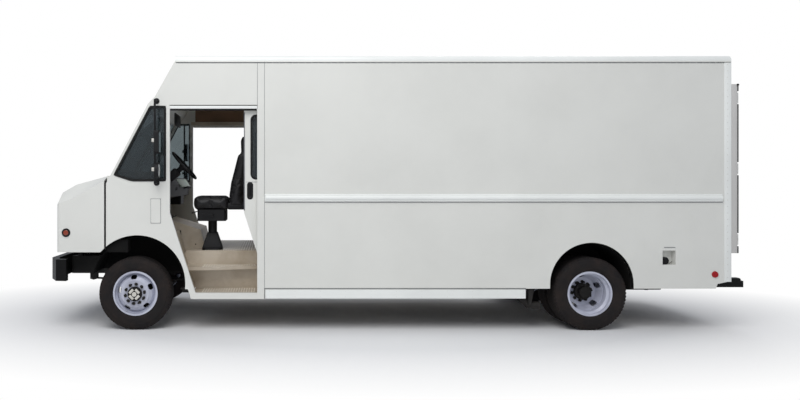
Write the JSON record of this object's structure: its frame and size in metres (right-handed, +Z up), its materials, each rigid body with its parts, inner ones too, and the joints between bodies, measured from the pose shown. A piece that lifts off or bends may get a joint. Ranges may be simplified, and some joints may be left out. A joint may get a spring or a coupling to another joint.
{
  "type": "step van",
  "caption": "Walk-in step van with tilting hood, sliding cab doors, swinging rear doors, steered front wheels and twin rear wheels on a ladder frame.",
  "frame": {"origin": "on the ground, halfway between the ends of the two bumpers, on the centre line", "axes": "+Z up, the vehicle's front points to -X, its driver's (left) side to -Y"},
  "size_m": [8.087, 2.85, 3.182],
  "materials": {
    "chassis_black": "satin chassis paint",
    "bumper_black": "semi-gloss black paint",
    "cast_iron": "rough cast",
    "bare_steel": "heat-dulled steel",
    "bare_aluminium": "mill finish",
    "white_paint": "gloss white coach paint",
    "glass": "lightly tinted",
    "clear_lens": "clear lens",
    "amber_lens": "moulded lens",
    "red_lens": "moulded lens",
    "black_plastic": "grained",
    "seat_vinyl": "grained vinyl",
    "wheel_silver": "silver grey enamel",
    "tyre": "matt rubber"
  },
  "bodies": {
    "root": {"frame": "chassis_black", "front_bumper": "bumper_black", "rear_bumper": "bumper_black", "front_axle": "chassis_black", "rear_axle": "chassis_black", "leaf_springs": "chassis_black", "shock_absorbers": "chassis_black", "driveshaft": "chassis_black", "engine": "cast_iron", "exhaust": "bare_steel", "fuel_tank": "chassis_black", "floor": "bare_aluminium", "cowl": "white_paint", "cab_side_left": "white_paint", "cab_side_right": "white_paint", "cab_glass": "glass", "header": "white_paint", "roof": "white_paint", "cargo_side_left": "white_paint", "cargo_side_right": "white_paint", "fuel_filler": "white_paint", "rub_rails": "white_paint", "wheelhouses": "bare_aluminium", "engine_cover": "bare_aluminium", "step_wells": "bare_aluminium", "door_tracks": "bare_aluminium", "bulkhead": "bare_aluminium", "rear_portal": "white_paint", "rear_lamps": "red_lens", "dashboard": "black_plastic", "seat_base": "black_plastic", "seat_cushion": "seat_vinyl", "seat_back": "seat_vinyl", "mirrors": "black_plastic"},
    "knuckle_left": {"knuckle_left": "chassis_black"},
    "knuckle_right": {"knuckle_right": "chassis_black"},
    "tie_rod": {"tie_rod": "chassis_black"},
    "wheel_front_left": {"wheel_front_left": "wheel_silver", "tyre_front_left": "tyre", "hub_front_left": "cast_iron"},
    "wheel_front_right": {"wheel_front_right": "wheel_silver", "tyre_front_right": "tyre", "hub_front_right": "cast_iron"},
    "wheels_rear_left": {"wheels_rear_left": "wheel_silver", "tyres_rear_left": "tyre", "hub_rear_left": "cast_iron"},
    "wheels_rear_right": {"wheels_rear_right": "wheel_silver", "tyres_rear_right": "tyre", "hub_rear_right": "cast_iron"},
    "steering_wheel": {"steering_wheel": "black_plastic"},
    "cab_door_left": {"cab_door_left": "white_paint", "door_glass_left": "glass"},
    "cab_door_right": {"cab_door_right": "white_paint", "door_glass_right": "glass"},
    "rear_door_left": {"rear_door_left": "bare_aluminium"},
    "rear_door_right": {"rear_door_right": "bare_aluminium"},
    "hood": {"hood": "white_paint", "grille": "black_plastic", "headlamps": "clear_lens", "front_markers": "amber_lens"}
  },
  "joints": [
    {"name": "steer_left", "type": "hinge", "parent": "root", "child": "knuckle_left", "pos_m": [-3.023, -0.88, 0.423], "axis": [0, 0, 1], "range_deg": [-35, 35]},
    {"name": "steer_right", "type": "hinge", "parent": "root", "child": "knuckle_right", "pos_m": [-3.023, 0.88, 0.423], "axis": [0, 0, 1], "range_deg": [-35, 35]},
    {"name": "tie_rod_pivot", "type": "hinge", "parent": "knuckle_left", "child": "tie_rod", "pos_m": [-2.823, -0.88, 0.3], "axis": [0, 0, 1], "range_deg": [-35, 35]},
    {"name": "steering_wheel_turn", "type": "hinge", "parent": "root", "child": "steering_wheel", "pos_m": [-2.518, -0.6, 1.928], "axis": [0.7501, 0, 0.6613], "range_deg": [-560, 560]},
    {"name": "front_left_spin", "type": "hinge", "parent": "knuckle_left", "child": "wheel_front_left", "pos_m": [-3.023, -1.02, 0.423], "axis": [0, 1, 0], "continuous": true},
    {"name": "front_right_spin", "type": "hinge", "parent": "knuckle_right", "child": "wheel_front_right", "pos_m": [-3.023, 1.02, 0.423], "axis": [0, 1, 0], "continuous": true},
    {"name": "rear_left_spin", "type": "hinge", "parent": "root", "child": "wheels_rear_left", "pos_m": [2.26, -0.915, 0.423], "axis": [0, 1, 0], "continuous": true},
    {"name": "rear_right_spin", "type": "hinge", "parent": "root", "child": "wheels_rear_right", "pos_m": [2.26, 0.915, 0.423], "axis": [0, 1, 0], "continuous": true},
    {"name": "cab_door_left_slide", "type": "slide", "parent": "root", "child": "cab_door_left", "axis": [1, 0, 0], "range_m": [-0.866, 0]},
    {"name": "cab_door_right_slide", "type": "slide", "parent": "root", "child": "cab_door_right", "axis": [1, 0, 0], "range_m": [-0.866, 0]},
    {"name": "rear_door_left_hinge", "type": "hinge", "parent": "root", "child": "rear_door_left", "pos_m": [3.965, -1.158, 1.875], "axis": [0, 0, -1], "range_deg": [0, 180]},
    {"name": "rear_door_right_hinge", "type": "hinge", "parent": "root", "child": "rear_door_right", "pos_m": [3.965, 1.158, 1.875], "axis": [0, 0, 1], "range_deg": [0, 180]},
    {"name": "hood_tilt", "type": "hinge", "parent": "root", "child": "hood", "pos_m": [-3.85, 0, 0.93], "axis": [0, -1, 0], "range_deg": [0, 55]}
  ],
  "couplings": [
    {"joint": "steer_right", "follows": "steer_left", "ratio": 1},
    {"joint": "tie_rod_pivot", "follows": "steer_left", "ratio": -1},
    {"joint": "steering_wheel_turn", "follows": "steer_left", "ratio": 16}
  ]
}
